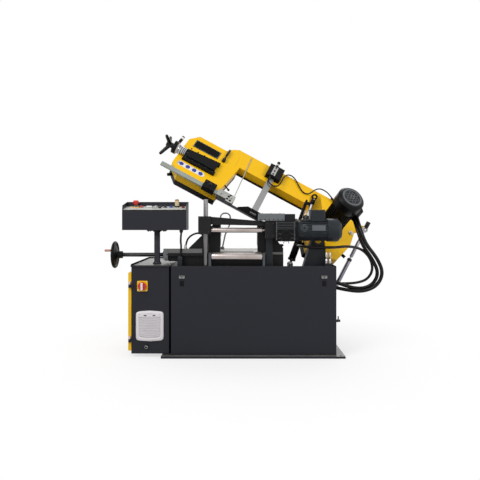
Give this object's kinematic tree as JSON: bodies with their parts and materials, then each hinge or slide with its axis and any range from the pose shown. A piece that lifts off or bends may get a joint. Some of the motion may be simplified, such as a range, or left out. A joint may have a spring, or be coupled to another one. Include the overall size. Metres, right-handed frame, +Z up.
{
  "type": "automatic horizontal band saw",
  "caption": "Floor-standing horizontal band saw: canted pivoting bow with band wheels, screw vise, roller bar feeder, console and electrical cabinet.",
  "frame": {"origin": "on the floor at the centre of the four anchor holes in the foot plate", "axes": "+X along the base toward the bow pivot, +Y to the rear, +Z up"},
  "size_m": [2.1574, 0.8656, 1.739],
  "materials": {
    "dark": "satin",
    "yellow": "gloss",
    "black": "satin",
    "steel": "brushed",
    "chrome": "polished",
    "iron": "painted",
    "motor": "painted",
    "red": "gloss",
    "blue": "gloss",
    "grey": "matte",
    "rubber": "matte",
    "light": "satin",
    "units": "matte",
    "amber": "gloss"
  },
  "bodies": {
    "base": {"foot_plate": "dark", "base_cabinet": "dark", "front_panel": "dark", "service_units": "units", "electrical_cabinet": "dark", "switch_plate": "yellow", "filter_grille": "grey", "cable_glands": "black", "console_housing": "dark", "console_panel": "light", "signal_lamp": "amber", "vise_bed": "iron", "fixed_jaw": "iron", "roller_stands": "steel", "pivot_stand": "dark", "coolant_pipe": "steel", "console_cable": "rubber", "motor_cable_outer": "rubber", "motor_cable_inner": "rubber", "lift_hose": "rubber", "vise_hose": "rubber"},
    "door": {"cabinet_door": "yellow"},
    "switch": {"switch_knob": "red"},
    "latch_left": {"latch_left": "light"},
    "latch_right": {"latch_right": "light"},
    "e_stop": {"e_stop": "red"},
    "selector": {"mode_selector": "black"},
    "screw": {"leadscrew": "black", "handwheel": "iron"},
    "jaw": {"moving_jaw": "iron"},
    "lower_roller": {"lower_roller": "steel"},
    "feed_head": {"feed_head": "iron", "feed_cover": "light", "feed_gearmotor": "motor"},
    "upper_roller": {"upper_roller": "steel"},
    "bow": {"bow_frame": "yellow", "wheel_covers": "black", "blade": "steel", "drive_gearmotor": "motor", "bow_plates": "black", "guide_blocks": "black", "right_guide_arm": "steel", "bow_cable": "rubber"},
    "drive_wheel": {"drive_wheel": "iron"},
    "tension_slide": {"tension_slide": "black"},
    "idle_wheel": {"idle_wheel": "iron"},
    "tension_handle": {"tension_handle": "black"},
    "clamp_lever": {"clamp_lever": "black"},
    "guide": {"guide_bar": "steel", "left_blade_guide": "steel"},
    "lift_barrel": {"lift_barrel": "black"},
    "lift_rod": {"lift_rod": "chrome"},
    "damper_tube": {"damper_tube": "steel"},
    "damper_rod": {"damper_rod": "chrome"},
    "reset_button": {"reset_button": "red"},
    "start_button": {"start_button": "chrome"},
    "stop_button": {"stop_button": "chrome"},
    "jog_forward_button": {"jog_forward_button": "black"},
    "jog_back_button": {"jog_back_button": "black"},
    "light_button": {"light_button": "blue"}
  },
  "joints": [
    {"name": "bow_pivot", "type": "hinge", "parent": "base", "child": "bow", "pos_m": [0.506, -0.15, 0.86], "axis": [0, 1, 0], "range_deg": [-28.3, 1], "deforming": ["motor_cable_outer", "motor_cable_inner"]},
    {"name": "lift_swing", "type": "hinge", "parent": "base", "child": "lift_barrel", "pos_m": [0.307, -0.015, 0.66], "axis": [0, 1, 0], "range_deg": [-16.5, 1], "deforming": ["lift_hose"]},
    {"name": "lift_stroke", "type": "slide", "parent": "lift_barrel", "child": "lift_rod", "axis": [0.3431, 0, 0.9393], "range_m": [-0.075, 0.004]},
    {"name": "damper_swing", "type": "hinge", "parent": "base", "child": "damper_tube", "pos_m": [0.655, 0.25, 0.3], "axis": [0, 1, 0], "range_deg": [-12.5, 1]},
    {"name": "damper_stroke", "type": "slide", "parent": "damper_tube", "child": "damper_rod", "axis": [0.4551, 0, 0.8904], "range_m": [-0.008, 0.175]},
    {"name": "drive_spin", "type": "hinge", "parent": "bow", "child": "drive_wheel", "pos_m": [0.61348, 0.16856, 0.88243], "axis": [0.3047, -0.766, 0.566], "continuous": true},
    {"name": "idle_spin", "type": "hinge", "parent": "tension_slide", "child": "idle_wheel", "pos_m": [-0.42548, 0.16856, 1.44186], "axis": [0.3047, -0.766, 0.566], "continuous": true},
    {"name": "tension_turn", "type": "hinge", "parent": "bow", "child": "tension_handle", "pos_m": [-0.6622, 0.09961, 1.63502], "axis": [0.8805, 0, -0.4741], "range_deg": [0, 1080]},
    {"name": "tension_move", "type": "slide", "parent": "bow", "child": "tension_slide", "axis": [0.8805, 0, -0.4741], "range_m": [0, 0.012]},
    {"name": "lever_turn", "type": "hinge", "parent": "bow", "child": "clamp_lever", "pos_m": [-0.23572, 0.19086, 1.52006], "axis": [0.3047, -0.766, 0.566], "range_deg": [-35, 35]},
    {"name": "guide_slide", "type": "slide", "parent": "bow", "child": "guide", "axis": [0.8805, 0, -0.4741], "range_m": [-0.02, 0.045]},
    {"name": "door_hinge", "type": "hinge", "parent": "base", "child": "door", "pos_m": [-0.9125, -0.3693, 0.338], "axis": [0, 0, 1], "range_deg": [0, 110]},
    {"name": "switch_turn", "type": "hinge", "parent": "base", "child": "switch", "pos_m": [-0.818, -0.37, 0.527], "axis": [0, -1, 0], "range_deg": [0, 90]},
    {"name": "latch_left_turn", "type": "hinge", "parent": "base", "child": "latch_left", "pos_m": [-0.527, -0.36, 0.594], "axis": [0, -1, 0], "range_deg": [0, 90]},
    {"name": "latch_right_turn", "type": "hinge", "parent": "base", "child": "latch_right", "pos_m": [0.527, -0.36, 0.594], "axis": [0, -1, 0], "range_deg": [0, 90]},
    {"name": "e_stop_press", "type": "slide", "parent": "base", "child": "e_stop", "axis": [0, 0.1846, -0.9828], "range_m": [0, 0.004]},
    {"name": "selector_turn", "type": "hinge", "parent": "base", "child": "selector", "pos_m": [-0.668, -0.23958, 1.10899], "axis": [0, -0.1846, 0.9828], "range_deg": [-45, 45]},
    {"name": "handwheel_turn", "type": "hinge", "parent": "base", "child": "screw", "pos_m": [-0.7, -0.155, 0.745], "axis": [1, 0, 0], "range_deg": [-2160, 10080]},
    {"name": "jaw_slide", "type": "slide", "parent": "base", "child": "jaw", "axis": [1, 0, 0], "range_m": [-0.06, 0.28]},
    {"name": "lower_roller_spin", "type": "hinge", "parent": "base", "child": "lower_roller", "pos_m": [-0.12, -0.33, 0.743], "axis": [1, 0, 0], "continuous": true},
    {"name": "feed_head_slide", "type": "slide", "parent": "base", "child": "feed_head", "axis": [0, 0, 1], "range_m": [-0.12, 0.08]},
    {"name": "upper_roller_spin", "type": "hinge", "parent": "feed_head", "child": "upper_roller", "pos_m": [-0.12, -0.33, 0.94], "axis": [1, 0, 0], "continuous": true},
    {"name": "reset_button_press", "type": "slide", "parent": "base", "child": "reset_button", "axis": [0, 0.1846, -0.9828], "range_m": [0, 0.004], "stiffness_N_per_m": 300},
    {"name": "start_button_press", "type": "slide", "parent": "base", "child": "start_button", "axis": [0, 0.1846, -0.9828], "range_m": [0, 0.004], "stiffness_N_per_m": 300},
    {"name": "stop_button_press", "type": "slide", "parent": "base", "child": "stop_button", "axis": [0, 0.1846, -0.9828], "range_m": [0, 0.004], "stiffness_N_per_m": 300},
    {"name": "jog_forward_button_press", "type": "slide", "parent": "base", "child": "jog_forward_button", "axis": [0, 0.1846, -0.9828], "range_m": [0, 0.004], "stiffness_N_per_m": 300},
    {"name": "jog_back_button_press", "type": "slide", "parent": "base", "child": "jog_back_button", "axis": [0, 0.1846, -0.9828], "range_m": [0, 0.004], "stiffness_N_per_m": 300},
    {"name": "light_button_press", "type": "slide", "parent": "base", "child": "light_button", "axis": [0, 0.1846, -0.9828], "range_m": [0, 0.004], "stiffness_N_per_m": 300}
  ],
  "couplings": [
    {"joint": "lift_swing", "follows": "bow_pivot", "ratio": 0.565},
    {"joint": "lift_stroke", "follows": "bow_pivot", "m_per_rad": 0.1465},
    {"joint": "damper_swing", "follows": "bow_pivot", "ratio": 0.41},
    {"joint": "damper_stroke", "follows": "bow_pivot", "m_per_rad": -0.34975},
    {"joint": "idle_spin", "follows": "drive_spin", "ratio": 1},
    {"joint": "tension_move", "follows": "tension_turn", "m_per_rad": 0.00063662},
    {"joint": "jaw_slide", "follows": "handwheel_turn", "m_per_rad": 0.0015915}
  ]
}
